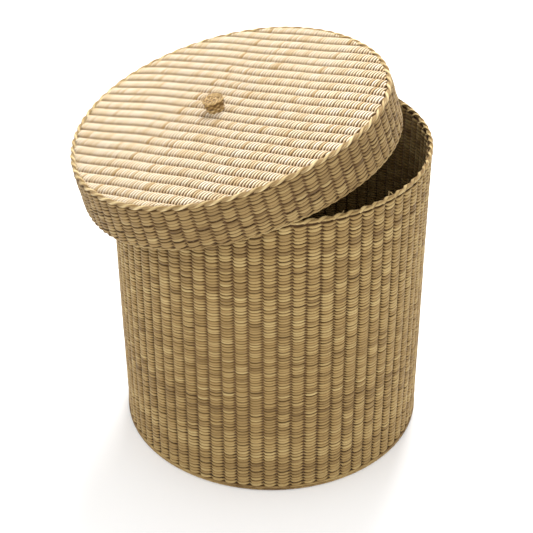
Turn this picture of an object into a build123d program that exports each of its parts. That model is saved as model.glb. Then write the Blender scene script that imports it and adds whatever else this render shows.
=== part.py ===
from build123d import *
import math
import os

# Lidded wicker basket: a twined drum on a flat base, and a flat cap with a twined skirt and a small
# knob. Millimetres. Origin at the centre of the flat underside, +Z up through the basket.

# basket
HEIGHT = 360.0
BASE_R = 175.0
RIM_R = 178.0
WALL_T = 5.0
SHELL_T = 1.4
BASE_T = 5.2
BASE_SKIN_T = 1.5
BASE_EDGE_W = 5.5
RIM_H = 8.0
STAKES = 72
ROD_PITCH = 15.1

# lid
LID_TOP_R = 182.8
LID_HEM_R = 184.8
SKIRT_H = 51.0
SKIRT_T = 3.0
SKIRT_SHELL_T = 0.9
PANEL_T = 4.6
PANEL_SKIN_T = 1.4
EDGE_W = 6.5
EDGE_ABOVE = 1.4
EDGE_BELOW = 5.4
HEM_H = 4.0
SKIRT_STAKES = 78
ROD_ANGLE = 138.0

# knob
KNOB_POS = (11.4, -4.0)
KNOB_BASE_R = 9.8
KNOB_TOP_R = 12.3
KNOB_H = 16.5
KNOB_WALL = 2.5
TIE_R = 1.5

# where the lid rests, tipped down to one side and hooked over the rim
LID_CENTRE = (-48.1, -7.2, 399.4)
LID_LOW_SIDE = 188.12
LID_TILT = 14.57


def save(shape, node):
    export_step(shape, os.path.join("parts", node + ".step"))


def revolved(points):
    """A ring or drum from its profile in radius and height."""
    return revolve(make_face(Polyline(*[(r, 0, z) for r, z in points], close=True)), Axis.Z)


def wall_r(z):
    """Outer radius of the basket wall."""
    return BASE_R + (RIM_R - BASE_R) * z / HEIGHT


def skirt_r(depth):
    """Outer radius of the lid skirt, by depth below the panel's top."""
    return LID_TOP_R + (LID_HEM_R - LID_TOP_R) * depth / SKIRT_H


def shell(r_low, r_high, z_low, z_high, inset, thick):
    """A leaning skin whose outer face is inset from the given radii."""
    return revolved(
        [
            (r_low - inset - thick, z_low),
            (r_low - inset, z_low),
            (r_high - inset, z_high),
            (r_high - inset - thick, z_high),
        ]
    )


def slanted_rod(angle, r_low, r_high, z_low, z_high, radius):
    """A straight stake leaning with the wall at one angle about Z, with flat level ends."""
    a = math.radians(angle)
    low = Vector(r_low * math.cos(a), r_low * math.sin(a), z_low)
    high = Vector(r_high * math.cos(a), r_high * math.sin(a), z_high)
    way = high - low
    rod = Cylinder(radius, way.length, align=(Align.CENTER, Align.CENTER, Align.MIN))
    return Plane(origin=low, z_dir=way.normalized()).location * rod


def flat_rods(panel_r, radius, at, step=0):
    """Parallel rods lying in a round panel, one every ROD_PITCH, the panel placed by at."""
    count = int(panel_r / ROD_PITCH) + 1
    rods = []
    for i in range(-count, count + 1):
        y = (i + 0.5) * ROD_PITCH + step
        if abs(y) < panel_r - 4:
            half = math.sqrt(panel_r**2 - (abs(y) + radius) ** 2) - 0.3
            rods.append(at * Location((0, y, 0), (0, 90, 0)) * Cylinder(radius, 2 * half))
    return Compound(children=rods)


def basket():
    panel_r = BASE_R - BASE_EDGE_W
    skin = Cylinder(panel_r, BASE_SKIN_T, align=(Align.CENTER, Align.CENTER, Align.MIN))
    save(skin, "base_weave_under")
    save(Pos(0, 0, BASE_T - BASE_SKIN_T) * skin, "base_weave_inside")
    rod_r = (BASE_T - 2 * BASE_SKIN_T) / 2
    save(flat_rods(panel_r, rod_r, Location((0, 0, BASE_T / 2))), "base_rods")

    edge = revolved([(panel_r, 0), (BASE_R, 0), (wall_r(BASE_T), BASE_T), (panel_r, BASE_T)])
    save(edge, "base_border")

    z_top = HEIGHT - RIM_H
    span = (wall_r(BASE_T), wall_r(z_top), BASE_T, z_top)
    save(shell(*span, 0, SHELL_T), "wall_weave_outer")
    save(shell(*span, WALL_T - SHELL_T, SHELL_T), "wall_weave_inner")

    mid = WALL_T / 2
    stake_r = (WALL_T - 2 * SHELL_T) / 2 - 0.06
    stakes = []
    for i in range(STAKES):
        angle = 360 * i / STAKES
        low = wall_r(BASE_T) - mid
        high = wall_r(z_top) - mid
        stakes.append(slanted_rod(angle, low, high, BASE_T + 0.1, z_top - 0.1, stake_r))
    save(Compound(children=stakes), "wall_stakes")

    rim = revolved(
        [
            (wall_r(z_top) - WALL_T, z_top),
            (wall_r(z_top), z_top),
            (RIM_R, HEIGHT - 1.5),
            (RIM_R - 1.2, HEIGHT),
            (RIM_R - WALL_T + 1.2, HEIGHT),
            (RIM_R - WALL_T, HEIGHT - 1.5),
        ]
    )
    save(rim, "rim_border")


def lid_place():
    """The lid's own frame: X down the slope, Z out of the panel, origin at the panel's top centre."""
    return Location(LID_CENTRE) * Location((0, 0, 0), (0, 0, LID_LOW_SIDE)) * Location(
        (0, 0, 0), (0, LID_TILT, 0)
    )


def lid():
    at = lid_place()
    panel_r = LID_TOP_R - EDGE_W
    hole = Pos(*KNOB_POS, 0) * Cylinder(TIE_R, 30)
    skin = Cylinder(panel_r, PANEL_SKIN_T, align=(Align.CENTER, Align.CENTER, Align.MAX)) - hole
    save(at * skin, "lid_weave_top")
    under = Cylinder(panel_r, PANEL_SKIN_T, align=(Align.CENTER, Align.CENTER, Align.MIN)) - hole
    save(at * (Pos(0, 0, -PANEL_T) * under), "lid_weave_under")

    # the knob's tie passes between two rods
    rod_r = (PANEL_T - 2 * PANEL_SKIN_T) / 2
    turned = math.radians(ROD_ANGLE)
    off = -KNOB_POS[0] * math.sin(turned) + KNOB_POS[1] * math.cos(turned)
    step = off - ROD_PITCH * round(off / ROD_PITCH)
    lying = at * Location((0, 0, -PANEL_T / 2), (0, 0, ROD_ANGLE))
    save(flat_rods(panel_r, rod_r, lying, step), "lid_rods")

    cord = revolved(
        [
            (panel_r, -EDGE_BELOW),
            (skirt_r(EDGE_BELOW), -EDGE_BELOW),
            (LID_TOP_R + 0.2, -EDGE_BELOW + 2),
            (LID_TOP_R + 0.2, EDGE_ABOVE - 1.6),
            (LID_TOP_R - 1.4, EDGE_ABOVE),
            (panel_r + 1.4, EDGE_ABOVE),
            (panel_r, EDGE_ABOVE - 1.6),
        ]
    )
    save(at * cord, "lid_edge_cord")

    low = SKIRT_H - HEM_H
    span = (skirt_r(low), skirt_r(EDGE_BELOW), -low, -EDGE_BELOW)
    save(at * shell(*span, 0, SKIRT_SHELL_T), "lid_skirt_weave_outer")
    save(at * shell(*span, SKIRT_T - SKIRT_SHELL_T, SKIRT_SHELL_T), "lid_skirt_weave_inner")

    stake_r = (SKIRT_T - 2 * SKIRT_SHELL_T) / 2 - 0.06
    r_low = skirt_r(low) - SKIRT_T / 2
    r_high = skirt_r(EDGE_BELOW) - SKIRT_T / 2
    stakes = []
    for i in range(SKIRT_STAKES):
        angle = 360 * i / SKIRT_STAKES
        stake = slanted_rod(angle, r_low, r_high, -low + 0.1, -EDGE_BELOW - 0.1, stake_r)
        stakes.append(at * stake)
    save(Compound(children=stakes), "lid_skirt_stakes")

    hem = shell(skirt_r(SKIRT_H), skirt_r(low), -SKIRT_H, -low, 0, SKIRT_T)
    save(at * hem, "lid_skirt_hem")


def knob():
    at = lid_place() * Location((*KNOB_POS, 0))
    cup = revolved(
        [
            (KNOB_BASE_R - KNOB_WALL, 0),
            (KNOB_BASE_R, 0),
            (KNOB_TOP_R, KNOB_H - 2),
            (KNOB_TOP_R - 2, KNOB_H),
            (0, KNOB_H),
            (0, KNOB_H - KNOB_WALL),
            (KNOB_BASE_R - KNOB_WALL, KNOB_H - KNOB_WALL),
        ]
    )
    save(at * cup, "knob_weave")
    core = revolved(
        [
            (TIE_R, 0),
            (KNOB_BASE_R - KNOB_WALL, 0),
            (KNOB_BASE_R - KNOB_WALL, KNOB_H - KNOB_WALL),
            (TIE_R, KNOB_H - KNOB_WALL),
        ]
    )
    save(at * core, "knob_core")
    tie_len = KNOB_H - KNOB_WALL + PANEL_T
    tie = Cylinder(TIE_R, tie_len, align=(Align.CENTER, Align.CENTER, Align.MIN))
    save(at * (Pos(0, 0, -PANEL_T) * tie), "knob_tie")
    stitch = Box(16, 4, 2.4, align=(Align.CENTER, Align.CENTER, Align.MAX))
    stitch = fillet(stitch.edges().group_by(Axis.Z)[0], 1.0)
    save(at * (Pos(0, 0, -PANEL_T) * Rot(0, 0, ROD_ANGLE + 90) * stitch), "knob_back_stitch")


os.makedirs("parts", exist_ok=True)
basket()
lid()
knob()
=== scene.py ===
import math

import bpy
import numpy as np
from mathutils import Matrix, Vector


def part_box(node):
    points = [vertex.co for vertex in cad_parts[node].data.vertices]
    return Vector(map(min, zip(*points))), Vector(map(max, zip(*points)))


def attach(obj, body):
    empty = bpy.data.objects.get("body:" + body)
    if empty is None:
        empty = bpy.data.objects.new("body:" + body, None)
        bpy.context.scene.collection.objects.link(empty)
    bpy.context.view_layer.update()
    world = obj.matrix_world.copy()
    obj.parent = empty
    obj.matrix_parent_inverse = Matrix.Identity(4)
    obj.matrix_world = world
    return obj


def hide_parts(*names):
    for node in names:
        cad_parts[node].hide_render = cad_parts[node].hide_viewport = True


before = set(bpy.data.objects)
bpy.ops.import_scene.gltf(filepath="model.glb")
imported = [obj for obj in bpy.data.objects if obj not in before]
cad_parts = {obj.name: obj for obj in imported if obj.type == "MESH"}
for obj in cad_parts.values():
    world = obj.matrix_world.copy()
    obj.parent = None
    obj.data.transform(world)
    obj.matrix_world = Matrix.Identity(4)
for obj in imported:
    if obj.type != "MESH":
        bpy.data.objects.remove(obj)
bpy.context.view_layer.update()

rng = np.random.default_rng(7)
MM = 0.001

# ---------------------------------------------------------------- sizes, mm, as in the part
rim_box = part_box("rim_border")
HEIGHT = rim_box[1][2] / MM
RIM_R = rim_box[1][0] / MM
BASE_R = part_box("base_border")[1][0] / MM
RIM_H = HEIGHT - rim_box[0][2] / MM
WALL_T = 5.0
STAKES = 72
ROWS = 92
BASE_T = 5.2
LID_TOP_R = 182.8
LID_HEM_R = 184.8
SKIRT_H = 51.0
SKIRT_T = 3.0
SKIRT_STAKES = 78
SKIRT_ROWS = 12
PANEL_T = 4.6
RIDGE = 15.1
RIDGE_ANGLE = 138.0
WEFT = 3.75
LID_CENTRE = (-48.1, -7.2, 399.4)
LID_LOW_SIDE = 188.12
LID_TILT = 14.57
KNOB_POS = (11.4, -4.0)
KNOB_BASE_R = 9.8
KNOB_TOP_R = 12.3
KNOB_H = 16.5

# ---------------------------------------------------------------- how the strands are meshed
SIDES = 6  # corners of a strand's section
PER = 6  # points of a strand for each stake it passes
BANDS = 8  # meshes the wall is shared out over
UP = np.array([0.0, 0, 1])

lid_at = (
    Matrix.Translation(Vector(LID_CENTRE))
    @ Matrix.Rotation(math.radians(LID_LOW_SIDE), 4, "Z")
    @ Matrix.Rotation(math.radians(LID_TILT), 4, "Y")
)


def wall_r(z):
    """Outer radius of the basket wall."""
    return BASE_R + (RIM_R - BASE_R) * z / HEIGHT


def circle(n):
    """The angles of n points round a circle."""
    return np.arange(n) * 2 * np.pi / n


def round_path(a, r, z):
    """Points at the angles a, radii r and heights z."""
    return np.stack([r * np.cos(a), r * np.sin(a), z + 0 * a], -1)


def outward_at(a):
    """The level direction away from Z at each angle."""
    return np.stack([np.cos(a), np.sin(a), 0 * a], -1)


def upward_at(a):
    """Straight up at each angle."""
    return np.broadcast_to(UP, (len(a), 3))


def across(path, face):
    """The direction across a strand's face, from its path and the face's normal."""
    side = np.cross(face, np.gradient(path, axis=0))
    return side / np.linalg.norm(side, axis=1, keepdims=True)


# ---------------------------------------------------------------- strands to meshes
class Strands:
    """Collects tubes with an oval section, and makes one mesh of them."""

    def __init__(self):
        self.points, self.quads, self.caps = [], [], []
        self.tone, self.fibre, self.edge = [], [], []
        self.count = 0

    def add(
        self,
        path,
        out,
        up,
        half_out,
        half_up,
        tone,
        closed=False,
        sides=SIDES,
        hidden=0.0,
        crest=False,
    ):
        """path, out and up are n by 3. The section reaches half_out along out and half_up along
        up. hidden is how far each point has dived behind its neighbours, 0 to 1, and it paints shade
        there. A crest puts one row of points along the middle of the strand's face, so that the
        painted shade on its sides leaves only its middle pale."""
        n = len(path)
        turn = np.arange(sides) * 2 * np.pi / sides + (0 if crest else np.pi / sides)
        c, s = np.cos(turn), np.sin(turn)
        half_out = np.broadcast_to(np.asarray(half_out, float), (n,))
        half_up = np.broadcast_to(np.asarray(half_up, float), (n,))
        ring = (
            path[:, None, :]
            + (half_out[:, None] * c[None, :])[..., None] * out[:, None, :]
            + (half_up[:, None] * s[None, :])[..., None] * up[:, None, :]
        )
        step = np.linalg.norm(np.diff(path, axis=0), axis=1)
        along = np.concatenate([[0.0], np.cumsum(step)])
        seed = rng.uniform(0, 400)
        fibre = np.empty((n, sides, 3))
        fibre[..., 0] = along[:, None] + seed * 3
        fibre[..., 1] = half_out[:, None] * c[None, :] + seed
        fibre[..., 2] = half_up[:, None] * s[None, :] + seed * 0.7
        first = self.count
        i = np.arange(n if closed else n - 1)
        j = (i + 1) % n
        k = np.arange(sides)
        m = (k + 1) % sides
        quad = np.stack(
            [
                first + i[:, None] * sides + k[None, :],
                first + i[:, None] * sides + m[None, :],
                first + j[:, None] * sides + m[None, :],
                first + j[:, None] * sides + k[None, :],
            ],
            -1,
        )
        hand = (np.cross(out[:-1], up[:-1]) * np.diff(path, axis=0)).sum()
        ends = [first + np.arange(sides)[::-1], first + (n - 1) * sides + np.arange(sides)]
        if hand < 0:
            quad = quad[..., ::-1]
            ends = [e[::-1] for e in ends]
        self.quads.append(quad.reshape(-1, 4))
        if not closed:
            self.caps.extend(ends)
        self.points.append(ring.reshape(-1, 3))
        self.fibre.append(fibre.reshape(-1, 3))
        self.tone.append(np.repeat(np.broadcast_to(np.asarray(tone, float), (n,)), sides))
        # painted shade: edge darkens the strand's sides and the points where it dives behind its
        # neighbours
        dive = np.broadcast_to(np.asarray(hidden, float), (n,))[:, None]
        side = np.abs(s) / 0.85 if crest else (np.abs(s) - 0.5) * 2
        side = np.clip(side, 0, 1)[None, :]
        self.edge.append(np.clip(np.maximum(side, dive), 0, 1).ravel())
        self.count += n * sides

    def mesh(self, name, at, material, body, replaced, slot):
        """The strands as one smooth object riding on a body, placed by at if it is given."""
        points = np.concatenate(self.points)
        if at is not None:
            m = np.array(at)
            points = points @ m[:3, :3].T + m[:3, 3]
        points = points * MM
        quads = np.concatenate(self.quads)
        loops = [quads.ravel()]
        sizes = [np.full(len(quads), 4)]
        if self.caps:
            loops.append(np.concatenate(self.caps))
            sizes.append(np.array([len(c) for c in self.caps]))
        loops = np.concatenate(loops).astype(np.int32)
        sizes = np.concatenate(sizes)
        starts = np.concatenate([[0], np.cumsum(sizes)[:-1]]).astype(np.int32)
        me = bpy.data.meshes.new(name)
        me.vertices.add(len(points))
        me.vertices.foreach_set("co", points.astype(np.float32).ravel())
        me.loops.add(len(loops))
        me.loops.foreach_set("vertex_index", loops)
        me.polygons.add(len(sizes))
        me.polygons.foreach_set("loop_start", starts)
        me.update(calc_edges=True)
        me.polygons.foreach_set("use_smooth", np.ones(len(sizes), bool))
        tone = me.attributes.new("tone", "FLOAT", "POINT")
        tone.data.foreach_set("value", np.concatenate(self.tone).astype(np.float32))
        # edge carries the painted shade at strand sides and dives
        edge = me.attributes.new("edge", "FLOAT", "POINT")
        edge.data.foreach_set("value", np.concatenate(self.edge).astype(np.float32))
        fibre = me.attributes.new("fibre", "FLOAT_VECTOR", "POINT")
        fibre.data.foreach_set("vector", np.concatenate(self.fibre).astype(np.float32).ravel())
        me.validate()
        me.materials.append(material)
        ob = bpy.data.objects.new(name, me)
        bpy.context.scene.collection.objects.link(ob)
        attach(ob, body)
        if replaced:
            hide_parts(*replaced)


def runs(total, low, high, spread=0.24, mean=0.5):
    """A tone for each step of a long strand, constant over runs of low to high steps."""
    out = np.empty(total)
    at = 0
    while at < total:
        n = int(rng.integers(low, high))
        out[at : at + n] = np.clip(rng.normal(mean, spread * 0.45), 0, 1)
        at += n
    return out


RING_LEAN, RING_DIP = 0.2, 0.24  # slant and sag of a strand round Z, as shares of the pitch
PANEL_LEAN, PANEL_DIP = 0.22, 0.05  # the same for a strand of a panel
RING_FILL = 0.57  # half a strand's width, as a share of the pitch
PANEL_REACH = 200.0  # rows are laid this far from the panel's middle, then cut to its outline
MIN_ROW = 9.0  # shorter rows are left out


def twine(phase, pitch, amp, lean, dip):
    """One twined strand by phase, where a whole number is a stake's centre and the strand lies in
    front of the even ones. Returns how far out it is, how far up, and how full its section is."""
    wave = np.cos(np.pi * phase)
    out = amp * np.sign(wave) * np.abs(wave) ** 0.55
    u = (phase + 0.5) % 1.0 - 0.5
    front = wave > 0
    slope = np.where(front, u, -u) * 2
    up = pitch * (lean * slope + dip * (slope**2 - 0.35) * np.where(front, 1, 0.3))
    full = 0.30 + 0.70 * np.clip(np.abs(wave) * 1.6, 0, 1)
    return out, up, full


def strand_tones(row, columns, a, b, odd=0.07):
    """The tone of each point of a row's two strands: the long strand's, with some odd straws."""
    out = []
    for long_tones in (a, b):
        part = long_tones[row * columns : (row + 1) * columns]
        part = np.clip(part + rng.normal(0, odd, columns), 0, 1)
        cell = np.round(np.arange(columns * PER) / PER).astype(int) % columns
        out.append(part[cell])
    return out


def twined_ring(bag, stakes, z, radius, pitch, amp, thick, tones, rough=1.0):
    """A closed row of two twined strands round Z. radius is the row's middle by angle and height,
    amp how far the strands swing out of it, rough how uneven they are."""
    n = stakes * PER
    base = np.arange(n) / PER
    jig = rng.normal(0, 0.12 * rough, stakes) * pitch
    jig_out = rng.normal(0, 0.10 * rough, stakes)
    fat = rng.normal(1, 0.06 * rough, stakes)
    cell = np.round(base).astype(int) % stakes
    for strand in (0, 1):
        phase = base + strand
        out, up, full = twine(phase, pitch, amp, RING_LEAN, RING_DIP)
        front = np.cos(np.pi * phase) > 0
        a = base * 2 * np.pi / stakes
        r = radius(a, z) + out + np.where(front, jig_out[cell], 0)
        zz = z + up + np.where(front, jig[cell], 0) * 0.6
        deep = thick * (0.6 + 0.4 * full)
        wide = pitch * RING_FILL * full * np.where(front, fat[cell], 1)
        # painted shade: the strand darkens where it dives behind a stake and its neighbour
        hidden = np.clip(0.45 - np.abs(np.cos(np.pi * phase)) * 0.9, 0, 1)
        bag.add(
            round_path(a, r, zz),
            outward_at(a),
            upward_at(a),
            deep,
            wide,
            tones[strand],
            closed=True,
            hidden=hidden,
        )


def pair_tones(mean, spread):
    """The tones of a row's two strands."""
    return [np.clip(rng.normal(mean, spread), 0, 1) for _ in (0, 1)]


def twined_panel(bags, radius, weft, angle, shift, z, amp, thick, mean, spread, per, fill):
    """Straight twined rows side by side over a panel, across ridges every RIDGE mm, shared out
    over the bags from one side to the other. radius is the panel's outline by angle, weft the
    rows' spacing, mean and spread their tones, per the points for each ridge and fill half a
    strand's width as a share of weft."""
    t = np.array([math.cos(angle), math.sin(angle), 0])
    s = np.array([-math.sin(angle), math.cos(angle), 0])
    count = int(PANEL_REACH / weft)
    for row in range(-count, count + 1):
        along = row * weft + rng.normal(0, 0.08)
        ends = []
        for sign in (-1, 1):
            half = 150.0
            for _ in range(6):
                r = radius(angle + math.atan2(sign * half, along))
                half = math.sqrt(max(r * r - along * along, 0))
            ends.append(sign * half)
        if ends[1] - ends[0] < MIN_ROW:
            continue
        n = max(int((ends[1] - ends[0]) / RIDGE * per), 4)
        bag = bags[(row + count) * len(bags) // (2 * count + 1)]
        x = np.linspace(ends[0], ends[1], n)
        bend = 6 * np.clip((-along - 50) / 120, 0, 1.2) ** 2
        bend = bend + 0.9 * np.sin(along / 37.0 + x / 55) + 0.5 * np.sin(along / 14.0 + x / 29)
        base = (x - shift + bend) / RIDGE
        cells = np.round(base).astype(int)
        jig = rng.normal(0, 0.035, 64)[cells % 64] * weft
        fat = rng.normal(1, 0.05, 64)[cells % 64]
        bow = 1.2 * np.sin(x / 61.0 + along / 47.0) + 0.8 * np.sin(x / 23.0 + along / 90.0)
        tone = pair_tones(mean, spread)
        for strand in (0, 1):
            phase = base + strand
            out, side, full = twine(phase, weft, amp, PANEL_LEAN, PANEL_DIP)
            front = np.cos(np.pi * phase) > 0
            arch = np.abs(np.cos(np.pi * base)) ** 0.7
            rise = np.where(front, arch, -arch) * amp * 0.6
            path = (
                x[:, None] * s
                + (along + side + jig + bow)[:, None] * t
                + (z + out + rise)[:, None] * UP
            )
            n_dir = np.broadcast_to(UP, (n, 3))
            t_dir = np.broadcast_to(t, (n, 3))
            deep = thick * (0.6 + 0.4 * full)
            wide = weft * fill * np.maximum(full, 0.6) * np.where(front, fat, 1)
            shade = np.clip(tone[strand] + rng.normal(0, 0.08, 64)[cells % 64], 0, 1)
            # painted shade: the strand darkens where it dives behind a ridge's stake
            hidden = np.clip(1.1 - np.abs(np.cos(np.pi * phase)) * 2, 0, 1)
            bag.add(path, n_dir, t_dir, deep, wide, shade, hidden=hidden, crest=True)


AXIS_R = 0.01  # a shade sheet's outline keeps this far from the axis, so that no face has an empty edge


def add_shade_sheet(name, profile, at, material, body, slot):
    """A thin closed dark skin in the middle of a weave, from its outline: painted shade that darkens
    the holes between strands. The outline is radius and height in turn, and a radius is a number or
    goes by angle."""
    n = 144
    a = circle(n)
    bag = Strands()
    ring = []
    for r, z in profile:
        ring.append(round_path(a, r(a) if callable(r) else r, z))
    ring = np.stack(ring, 1)
    k = len(profile)
    i, j = np.arange(n), np.arange(k)
    quad = np.stack(
        [
            i[:, None] * k + j[None, :],
            ((i[:, None] + 1) % n) * k + j[None, :],
            ((i[:, None] + 1) % n) * k + (j[None, :] + 1) % k,
            i[:, None] * k + (j[None, :] + 1) % k,
        ],
        -1,
    )
    r_prof, z_prof = ring[0, :, 0], ring[0, :, 2]
    if (r_prof * np.roll(z_prof, -1) - np.roll(r_prof, -1) * z_prof).sum() < 0:
        quad = quad[..., ::-1]
    bag.points.append(ring.reshape(-1, 3))
    bag.quads.append(quad.reshape(-1, 4))
    bag.fibre.append(ring.reshape(-1, 3))
    bag.tone.append(np.full(n * k, 0.3))
    bag.edge.append(np.full(n * k, 1.0))
    bag.count = n * k
    bag.mesh(name, at, material, body, (), slot)


# ---------------------------------------------------------------- materials, colours are linear
ROUGH = 0.62
STREAK = 0.5  # strength of the fibre streaks
PATCH = 0.2  # strength of the blotches
SHEEN = 0.03
BUMP = 0.5


def straw(name, dark, mid, light, gap=0.75):
    """Dry straw: tone from the strand it is in, fine fibre streaks along it, and blotches. gap is
    how much painted shade darkens a strand's edges and the points where it dives behind its
    neighbours."""
    m = bpy.data.materials.new(name)
    m.use_nodes = True
    nt = m.node_tree
    nodes, links = nt.nodes, nt.links
    nodes.clear()
    out = nodes.new("ShaderNodeOutputMaterial")
    bsdf = nodes.new("ShaderNodeBsdfPrincipled")
    links.new(bsdf.outputs[0], out.inputs[0])
    bsdf.inputs["Specular IOR Level"].default_value = 0.22
    bsdf.inputs["Sheen Weight"].default_value = SHEEN
    bsdf.inputs["Sheen Roughness"].default_value = 0.5

    tone = nodes.new("ShaderNodeAttribute")
    tone.attribute_name = "tone"
    fibre = nodes.new("ShaderNodeAttribute")
    fibre.attribute_name = "fibre"

    stretch = nodes.new("ShaderNodeVectorMath")
    stretch.operation = "MULTIPLY"
    stretch.inputs[1].default_value = (0.10, 2.6, 2.6)
    links.new(fibre.outputs["Vector"], stretch.inputs[0])
    fine = nodes.new("ShaderNodeTexNoise")
    fine.inputs["Scale"].default_value = 1.0
    fine.inputs["Detail"].default_value = 3.0
    fine.inputs["Roughness"].default_value = 0.65
    links.new(stretch.outputs[0], fine.inputs["Vector"])

    slow = nodes.new("ShaderNodeVectorMath")
    slow.operation = "MULTIPLY"
    slow.inputs[1].default_value = (0.045, 0.25, 0.25)
    links.new(fibre.outputs["Vector"], slow.inputs[0])
    blot = nodes.new("ShaderNodeTexNoise")
    blot.inputs["Scale"].default_value = 1.0
    blot.inputs["Detail"].default_value = 2.0
    links.new(slow.outputs[0], blot.inputs["Vector"])

    def scaled(socket, amount, centre=0.5):
        n = nodes.new("ShaderNodeMath")
        n.operation = "MULTIPLY_ADD"
        n.inputs[1].default_value = amount
        n.inputs[2].default_value = -amount * centre
        links.new(socket, n.inputs[0])
        return n.outputs[0]

    def added(a, b):
        n = nodes.new("ShaderNodeMath")
        n.operation = "ADD"
        links.new(a, n.inputs[0])
        links.new(b, n.inputs[1])
        return n.outputs[0]

    value = added(tone.outputs["Fac"], scaled(fine.outputs["Fac"], STREAK))
    value = added(value, scaled(blot.outputs["Fac"], PATCH * 2))
    ramp = nodes.new("ShaderNodeValToRGB")
    ramp.color_ramp.elements[0].position = 0.05
    ramp.color_ramp.elements[0].color = (*dark, 1)
    ramp.color_ramp.elements[1].position = 0.95
    ramp.color_ramp.elements[1].color = (*light, 1)
    middle = ramp.color_ramp.elements.new(0.5)
    middle.color = (*mid, 1)
    links.new(value, ramp.inputs[0])
    # painted shade: the edge attribute mixes the colour towards a darker brown at strand sides and
    # dives, in place of the shade between strands
    edge = nodes.new("ShaderNodeAttribute")
    edge.attribute_name = "edge"
    strength = nodes.new("ShaderNodeMath")
    strength.operation = "MULTIPLY"
    strength.inputs[1].default_value = gap
    links.new(edge.outputs["Fac"], strength.inputs[0])
    painted_edge_shade = nodes.new("ShaderNodeMix")
    painted_edge_shade.data_type = "RGBA"
    painted_edge_shade.inputs["B"].default_value = (dark[0] * 0.62, dark[1] * 0.43, dark[2] * 0.25, 1)
    links.new(strength.outputs[0], painted_edge_shade.inputs["Factor"])
    links.new(ramp.outputs[0], painted_edge_shade.inputs["A"])
    links.new(painted_edge_shade.outputs["Result"], bsdf.inputs["Base Color"])

    gloss = nodes.new("ShaderNodeMath")
    gloss.operation = "MULTIPLY_ADD"
    gloss.inputs[1].default_value = -0.25
    gloss.inputs[2].default_value = ROUGH + 0.12
    links.new(fine.outputs["Fac"], gloss.inputs[0])
    links.new(gloss.outputs[0], bsdf.inputs["Roughness"])

    b = nodes.new("ShaderNodeBump")
    b.inputs["Strength"].default_value = BUMP
    b.inputs["Distance"].default_value = 0.0006
    links.new(fine.outputs["Fac"], b.inputs["Height"])
    links.new(b.outputs[0], bsdf.inputs["Normal"])
    return m


# The next three are one straw: the lid's is a lit copy, painted paler for the light from above on
# its top, and the wall's and skirt's are shaded copies, painted darker for the shade on the sides
shaded_wall_straw = straw("shaded_wall_straw", (0.14, 0.078, 0.024), (0.34, 0.222, 0.080), (0.52, 0.385, 0.165))
shaded_skirt_straw = straw("shaded_skirt_straw", (0.13, 0.073, 0.023), (0.30, 0.195, 0.073), (0.45, 0.33, 0.145))
lit_lid_straw = straw("lit_lid_straw", (0.60, 0.45, 0.23), (0.97, 0.86, 0.62), (1.0, 0.96, 0.80), 0.74)
cord_straw = straw("cord_straw", (0.27, 0.175, 0.065), (0.53, 0.395, 0.185), (0.72, 0.57, 0.31), 0.8)
rim_straw = straw("rim_straw", (0.20, 0.12, 0.04), (0.38, 0.26, 0.10), (0.56, 0.42, 0.19))
knob_straw = straw("knob_straw", (0.17, 0.09, 0.03), (0.43, 0.275, 0.10), (0.78, 0.58, 0.30), 0.95)
# painted shade: the next two are the dark colours of the shade sheets inside the weaves, not straw
warm_shade_paint = straw("warm_shade_paint", (0.14, 0.075, 0.025), (0.20, 0.115, 0.045), (0.28, 0.17, 0.07), 0.3)
dark_shade_paint = straw("dark_shade_paint", (0.09, 0.045, 0.015), (0.14, 0.075, 0.028), (0.20, 0.11, 0.045), 0.2)
base_straw = straw("base_straw", (0.22, 0.13, 0.055), (0.42, 0.29, 0.14), (0.58, 0.44, 0.24))
rod_straw = straw("rod_straw", (0.16, 0.10, 0.045), (0.24, 0.155, 0.07), (0.34, 0.23, 0.11))

# ---------------------------------------------------------------- basket wall
tones_a = runs(ROWS * STAKES, 30, 230)
tones_b = runs(ROWS * STAKES, 30, 230)
z_low, z_high = BASE_T + 0.6, HEIGHT - RIM_H + 1.5
row_gaps = 1 + 0.12 * np.cos(np.linspace(0.4, 5.6, ROWS))
row_z = z_low + (z_high - z_low) * (np.cumsum(row_gaps) - row_gaps / 2) / row_gaps.sum()
row_pitch = (z_high - z_low) * row_gaps / row_gaps.sum()
wander = rng.uniform(0, 6.28, 4)


def wall_mid(a, z):
    """Radius of the wall's middle, a little out of round as handmade walls are."""
    soft = 0.5 * np.cos(2 * a + wander[0]) + 0.35 * np.cos(3 * a + z / 70 + wander[1])
    return wall_r(z) - WALL_T / 2 + 0.1 + soft


for band in range(BANDS):
    bag = Strands()
    for row in range(band * ROWS // BANDS, (band + 1) * ROWS // BANDS):
        tones = strand_tones(row, STAKES, tones_a, tones_b)
        twined_ring(bag, STAKES, row_z[row], wall_mid, row_pitch[row], 2.1, 1.35, tones)
    replaced = ("wall_weave_outer", "wall_weave_inner") if band == 0 else ()
    bag.mesh(f"wall_weave_band_{band + 1}", None, shaded_wall_straw, "basket", replaced, "weave_wall")

# painted shade: a dark sheet inside the wall's weave darkens the holes between strands
add_shade_sheet(
    "wall_shade_sheet",
    [
        (lambda a: wall_mid(a, BASE_T) - 0.25, BASE_T),
        (lambda a: wall_mid(a, BASE_T) + 0.25, BASE_T),
        (lambda a: wall_mid(a, HEIGHT) + 0.25, HEIGHT - 4),
        (lambda a: wall_mid(a, HEIGHT) - 0.25, HEIGHT - 4),
    ],
    None,
    dark_shade_paint,
    "basket",
    "rods",
)

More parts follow.
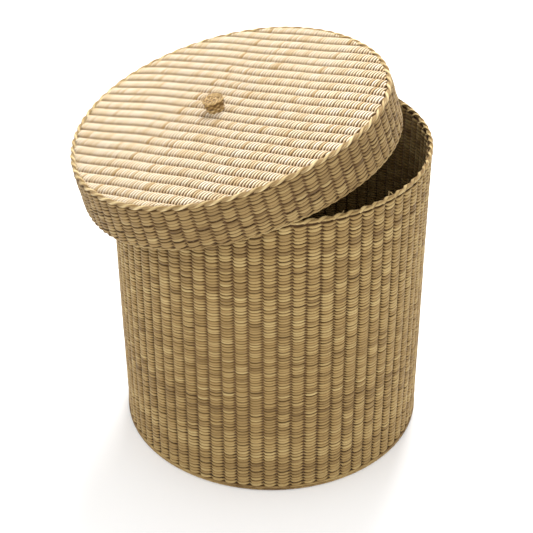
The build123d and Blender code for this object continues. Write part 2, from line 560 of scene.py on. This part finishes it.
# ---------------------------------------------------------------- rim
bag = Strands()
rim_mid = RIM_R - WALL_T / 2
n = STAKES * 6
a = circle(n)
for ply in (0, 1):
    turn = a * STAKES / 2 + ply * np.pi
    r = rim_mid + 0.9 + 1.5 * np.cos(turn)
    z = HEIGHT - 2.6 + 0.5 * np.sin(turn) + 0.4 * np.cos(3 * a + 1)
    tone = np.clip(0.55 + 0.15 * np.sin(a * 7 + ply * 2) + rng.normal(0, 0.08, n), 0, 1)
    bag.add(round_path(a, r, z), outward_at(a), upward_at(a), 1.3, 1.7, tone, closed=True)
for i in range(STAKES):
    a0 = (i + 0.5) * 2 * np.pi / STAKES + rng.normal(0, 0.006)
    u = np.linspace(0, 1, 10)
    bend = u * np.pi
    length = rng.uniform(5.0, 11.0)
    r = rim_mid + 0.1 + 2.4 * np.cos(bend)
    z = HEIGHT - 3.4 + 2.9 * np.sin(bend) - np.clip(u - 0.6, 0, 1) * length
    lean = a0 + (u - 0.3) * rng.uniform(0.085, 0.105)
    path = round_path(lean, r, z)
    nx = np.stack([np.cos(lean) * np.cos(bend), np.sin(lean) * np.cos(bend), np.sin(bend)], -1)
    side = across(path, nx)
    wide = 2.2 * np.clip(1.1 - u * 0.4, 0.3, 1)
    bag.add(path, nx, side, 0.45, wide, rng.uniform(0.4, 0.85))
# straws that stand out of the rim: angle, how far round they reach, how high
STRAYS = ((-0.79, 0.03, 4.5), (-0.73, -0.02, 3.0), (-1.15, 0.04, 2.5), (0.5, 0.05, 3.0))
for start, reach, rise in STRAYS:
    u = np.linspace(0, 1, 8)
    r = rim_mid - 2.6 - 3.0 * u**2
    z = HEIGHT - 7 + (6 + rise) * u - 3 * u**2
    lean = start + reach * u
    path = round_path(lean, r, z)
    nx = outward_at(lean)
    bag.add(path, nx, across(path, nx), 0.4, 1.1 * (1 - 0.6 * u), 0.8)
bag.mesh("rim_fold", None, rim_straw, "basket", ("rim_border",), "rim")

# ---------------------------------------------------------------- base
bag = Strands()
base_panel_r = BASE_R - 3.0
twined_panel(
    [bag],
    lambda a: base_panel_r,
    weft=3.9,
    angle=0.0,
    shift=RIDGE / 2,
    z=BASE_T / 2,
    amp=1.3,
    thick=1.0,
    mean=0.5,
    spread=0.15,
    per=5,
    fill=0.46,
)
replaced = ("base_weave_under", "base_weave_inside")
bag.mesh("base_weave", None, base_straw, "basket", replaced, "weave_base")

base_disc = BASE_R - 4
# painted shade: a dark sheet inside the base's weave darkens the holes between strands
add_shade_sheet(
    "base_shade_sheet",
    [
        (AXIS_R, BASE_T / 2 - 0.25),
        (base_disc, BASE_T / 2 - 0.25),
        (base_disc, BASE_T / 2 + 0.25),
        (AXIS_R, BASE_T / 2 + 0.25),
    ],
    None,
    dark_shade_paint,
    "basket",
    "rods",
)

bag = Strands()
for ply, (dr, dz) in enumerate(((0.0, 1.5), (0.35, 4.4))):
    n = 300
    a = circle(n)
    r = BASE_R - 1.0 + dr + 0.25 * np.cos(4 * a + ply) + rng.normal(0, 0.05, n)
    tone = np.clip(0.4 + 0.2 * np.sin(5 * a + ply) + rng.normal(0, 0.1, n), 0, 1)
    bag.add(round_path(a, r, dz), outward_at(a), upward_at(a), 1.9, 1.5, tone, closed=True)
bag.mesh("base_edge", None, shaded_wall_straw, "basket", ("base_border",), "weave_base")

# ---------------------------------------------------------------- lid
def lid_round(a):
    """How far the handmade lid's edge strays from its circle."""
    slow = 2.2 * np.cos(a - 1.07) + 3.0 * np.cos(2 * a + 2.76)
    return slow + 2.7 * np.cos(3 * a - 2.18) + 1.0 * np.cos(4 * a + 2.0) - 1.2


def skirt_mid(a, z):
    """Radius of the skirt's middle, by angle and height in the lid's own frame."""
    return LID_TOP_R - (LID_HEM_R - LID_TOP_R) * z / SKIRT_H - SKIRT_T / 2 + lid_round(a)


turned = math.radians(RIDGE_ANGLE)
off = -KNOB_POS[0] * math.sin(turned) + KNOB_POS[1] * math.cos(turned)
shift = off + RIDGE / 2
lid_bags = [Strands(), Strands()]
twined_panel(
    lid_bags,
    lambda a: LID_TOP_R - 4.0 + lid_round(a),
    weft=WEFT,
    angle=turned,
    shift=shift,
    z=-PANEL_T / 2 - 0.1,
    amp=1.5,
    thick=1.25,
    mean=0.6,
    spread=0.22,
    per=6,
    fill=0.34,
)
for side, bag in enumerate(lid_bags):
    replaced = ("lid_weave_top", "lid_weave_under") if side == 0 else ()
    bag.mesh(f"lid_top_weave_{side + 1}", lid_at, lit_lid_straw, "lid", replaced, "weave_lid")

lid_disc = LID_TOP_R - 5
# painted shade: a warm dark sheet inside the lid's weave darkens the gaps between wefts
add_shade_sheet(
    "lid_shade_sheet",
    [
        (AXIS_R, -PANEL_T / 2 - 0.3),
        (lambda a: lid_disc + lid_round(a), -PANEL_T / 2 - 0.3),
        (lambda a: lid_disc + lid_round(a), -PANEL_T / 2 + 0.2),
        (AXIS_R, -PANEL_T / 2 + 0.2),
    ],
    lid_at,
    warm_shade_paint,
    "lid",
    "rods",
)

bag = Strands()
CORD_TURNS = 34
n = CORD_TURNS * 12
a = circle(n)
for ply in (0, 1):
    turn = a * CORD_TURNS + ply * np.pi
    r = LID_TOP_R - 2.4 + lid_round(a) + 1.55 * np.cos(turn)
    z = -1.2 + 1.45 * np.sin(turn)
    path = round_path(a, r, z)
    tone = np.clip(0.62 + 0.22 * np.sin(a * 9 + ply * 2.5) + rng.normal(0, 0.06, n), 0, 1)
    tangent = np.gradient(path, axis=0)
    tangent /= np.linalg.norm(tangent, axis=1, keepdims=True)
    nrm = outward_at(a) * np.cos(turn)[:, None] + UP * np.sin(turn)[:, None]
    nrm = nrm - (nrm * tangent).sum(1, keepdims=True) * tangent
    nrm /= np.linalg.norm(nrm, axis=1, keepdims=True)
    bag.add(path, nrm, np.cross(tangent, nrm), 1.5, 1.75, tone, closed=True, sides=8)
bag.mesh("lid_edge_twist", lid_at, cord_straw, "lid", ("lid_edge_cord",), "cord")

bag = Strands()
low = SKIRT_H - 3.6
pitch = (low - 3.0) / SKIRT_ROWS
skirt_a = runs(SKIRT_ROWS * SKIRT_STAKES, 20, 160)
skirt_b = runs(SKIRT_ROWS * SKIRT_STAKES, 20, 160)
for row in range(SKIRT_ROWS):
    z = -low + (row + 0.5) * pitch
    tones = strand_tones(row, SKIRT_STAKES, skirt_a, skirt_b)
    twined_ring(bag, SKIRT_STAKES, z, skirt_mid, pitch, 1.35, 0.95, tones, rough=1.5)
replaced = ("lid_skirt_weave_outer", "lid_skirt_weave_inner")
bag.mesh("lid_skirt_weave", lid_at, shaded_skirt_straw, "lid", replaced, "weave_skirt")

bag = Strands()
z = np.linspace(-low, -3.5, 8)
for i in range(SKIRT_STAKES):
    a = np.full(8, i * 2 * np.pi / SKIRT_STAKES)
    around = np.stack([-np.sin(a), np.cos(a), 0 * a], -1)
    bag.add(round_path(a, skirt_mid(a, z), z), outward_at(a), around, 0.55, 0.8, 0.5)
bag.mesh("lid_skirt_ribs", lid_at, rod_straw, "lid", ("lid_skirt_stakes",), "rods")

# painted shade: a dark sheet inside the skirt's weave darkens the holes between strands
add_shade_sheet(
    "lid_skirt_shade_sheet",
    [
        (lambda a: skirt_mid(a, -49) - 0.2, -49.5),
        (lambda a: skirt_mid(a, -49) + 0.2, -49.5),
        (lambda a: skirt_mid(a, -3) + 0.2, -1.5),
        (lambda a: skirt_mid(a, -3) - 0.2, -1.5),
    ],
    lid_at,
    dark_shade_paint,
    "lid",
    "rods",
)

bag = Strands()
HEM_TURNS = 52
n = HEM_TURNS * 12
a = circle(n)
for ply in (0, 1):
    turn = a * HEM_TURNS + ply * np.pi
    r = skirt_mid(a, -SKIRT_H) + 0.9 * np.cos(turn)
    z = -SKIRT_H + 2.0 + 0.7 * np.sin(turn)
    tone = np.clip(0.5 + 0.2 * np.sin(a * 8 + ply) + rng.normal(0, 0.08, n), 0, 1)
    bag.add(round_path(a, r, z), outward_at(a), upward_at(a), 1.2, 1.25, tone, closed=True)
bag.mesh("lid_hem_twist", lid_at, shaded_skirt_straw, "lid", ("lid_skirt_hem",), "cord")

# ---------------------------------------------------------------- knob
knob_at = lid_at @ Matrix.Translation(Vector((*KNOB_POS, 0)))
bag = Strands()


def knob_r(z):
    """Radius of the knob's strands by height."""
    return KNOB_BASE_R + (KNOB_TOP_R - KNOB_BASE_R) * z / KNOB_H - 1.4


KNOB_ROWS = 5
knob_pitch = (KNOB_H - 2.6) / KNOB_ROWS
a = circle(96)
for row in range(KNOB_ROWS):
    z = (row + 0.5) * knob_pitch + 0.5 * np.sin(3 * a + row * 2.1) + 0.35 * np.sin(7 * a + row)
    r = knob_r(z) + 0.45 * np.cos(9 * a + row * np.pi)
    path = round_path(a, r, np.maximum(z, 1.5))
    tone = np.clip(rng.normal(0.5, 0.12) + 0.25 * np.sin(9 * a + row * np.pi), 0, 1)
    bag.add(path, outward_at(a), upward_at(a), 1.3, knob_pitch * 0.50, tone, closed=True)
for ply in (0, 1):
    turn = a * 9 + ply * np.pi
    r = KNOB_TOP_R - 2.2 + 0.9 * np.cos(turn)
    path = round_path(a, r, KNOB_H - 2.4 + 0.9 * np.sin(turn))
    bag.add(path, outward_at(a), upward_at(a), 1.1, 1.3, 0.75 + 0.2 * ply, closed=True)
for layer, heading in enumerate((65, 155)):
    t = math.radians(heading)
    c, s = math.cos(t), math.sin(t)
    for k, x in enumerate((-6.6, -3.3, 0.0, 3.3, 6.6)):
        u = np.linspace(-1, 1, 15)
        half = math.sqrt((KNOB_TOP_R - 2.4) ** 2 - x * x)
        wave = 0.7 * np.sin(u * 7 + (k + layer) * np.pi)
        px, py = x + 0.4 * np.sin(u * 3 + k), half * u
        path = np.stack([px * c - py * s, px * s + py * c, KNOB_H - 3.0 + wave], -1)
        side = np.broadcast_to(np.array([c, s, 0.0]), path.shape)
        upward = np.broadcast_to(UP, path.shape)
        bag.add(path, upward, side, 0.8, 1.15, rng.uniform(0.3, 0.95))
bag.mesh("knob_plait", knob_at, knob_straw, "lid", ("knob_weave",), "cord")

# ---------------------------------------------------------------- carried-over CAD nodes
for node in ("base_rods", "wall_stakes", "lid_rods", "knob_core", "knob_tie", "knob_back_stitch"):
    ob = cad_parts[node]
    mat = cord_straw if node in ("knob_tie", "knob_back_stitch") else rod_straw
    ob.data.materials.clear()
    ob.data.materials.append(mat)

# ---------------------------------------------------------------- floor, light, camera
FLOOR_WHITE = 0.93
FLOOR_GLOW = 0.07  # lifts the floor towards the photo's white
WORLD_LIGHT = 1.02
CAMERA_AT = (0.0129, -1.4206, 1.1227)
CAMERA_LENS = 98.2
YAW, PITCH_DOWN, ROLL = -0.01288, 0.58103, -0.00342

fm = bpy.data.materials.new("floor_white")
fm.use_nodes = True
fb = fm.node_tree.nodes["Principled BSDF"]
fb.inputs["Base Color"].default_value = (FLOOR_WHITE, FLOOR_WHITE, FLOOR_WHITE, 1)
fb.inputs["Roughness"].default_value = 0.8
fb.inputs["Emission Color"].default_value = (1, 1, 1, 1)
fb.inputs["Emission Strength"].default_value = FLOOR_GLOW
bpy.ops.mesh.primitive_plane_add(size=30, location=(0, 0, -0.0005))
floor = bpy.context.object
floor.name = "floor"
floor.data.materials.append(fm)

world = bpy.data.worlds.new("world")
bpy.context.scene.world = world
world.use_nodes = True
world.node_tree.nodes["Background"].inputs[0].default_value = (1, 1, 1, 1)
world.node_tree.nodes["Background"].inputs[1].default_value = WORLD_LIGHT


def area(name, loc, target, size, power):
    """A square light that faces its target."""
    light = bpy.data.lights.new(name, "AREA")
    light.shape = "SQUARE"
    light.size = size
    light.energy = power
    ob = bpy.data.objects.new(name, light)
    bpy.context.scene.collection.objects.link(ob)
    ob.location = loc
    ob.rotation_euler = (Vector(target) - Vector(loc)).to_track_quat("-Z", "Y").to_euler()


area("top", (0.15, 1.1, 2.1), (0, 0, 0.2), 0.8, 56)
area("left", (-1.6, -0.3, 1.9), (0, 0, 0.3), 1.2, 4)
area("front", (0.4, -2.3, 1.5), (0.1, 0, 0.35), 1.2, 11)

camera = bpy.data.cameras.new("camera")
camera.lens = CAMERA_LENS
camera.sensor_width = 36
cam = bpy.data.objects.new("camera", camera)
bpy.context.scene.collection.objects.link(cam)
level = math.cos(PITCH_DOWN)
fwd = Vector((math.sin(YAW) * level, math.cos(YAW) * level, -math.sin(PITCH_DOWN)))
right = Vector((math.cos(YAW), -math.sin(YAW), 0))
up = right.cross(fwd)
rolled_right = math.cos(ROLL) * right + math.sin(ROLL) * up
rolled_up = -math.sin(ROLL) * right + math.cos(ROLL) * up
m = Matrix((rolled_right, rolled_up, -fwd)).transposed().to_4x4()
m.translation = Vector(CAMERA_AT)
cam.matrix_world = m
bpy.context.scene.camera = cam

view = bpy.context.scene.view_settings
view.view_transform = "Standard"
view.look = "None"
